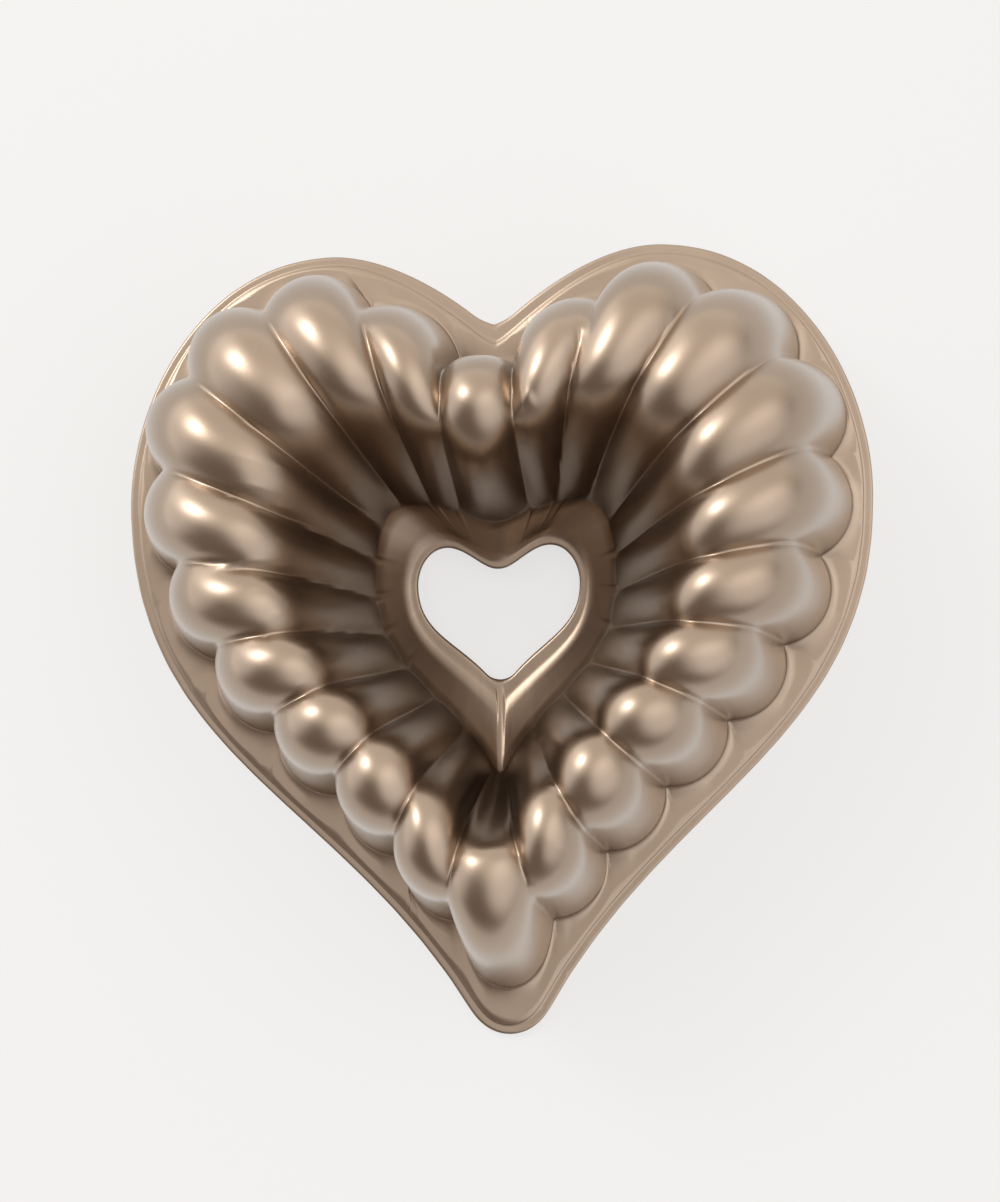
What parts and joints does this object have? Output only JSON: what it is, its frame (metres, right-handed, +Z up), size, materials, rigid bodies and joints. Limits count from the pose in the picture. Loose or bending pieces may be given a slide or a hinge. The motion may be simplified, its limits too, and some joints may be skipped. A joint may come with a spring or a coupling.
{
  "type": "fluted tube pan",
  "caption": "Heart-shaped fluted tube pan, one cast piece with a heart-shaped hole through its tube and a flat rim; shown standing upside down on the rim.",
  "frame": {"origin": "middle of the rim in plan, on the plane the rim stands on", "axes": "+Z up through the crown as the pan stands upside down, +Y toward the notch of the heart, X across"},
  "size_m": [0.2678, 0.282, 0.0905],
  "materials": {
    "coated_metal": "satin bronze-toned non-stick coat on cast aluminium"
  },
  "bodies": {
    "root": {"pan": "coated_metal"}
  },
  "joints": []
}
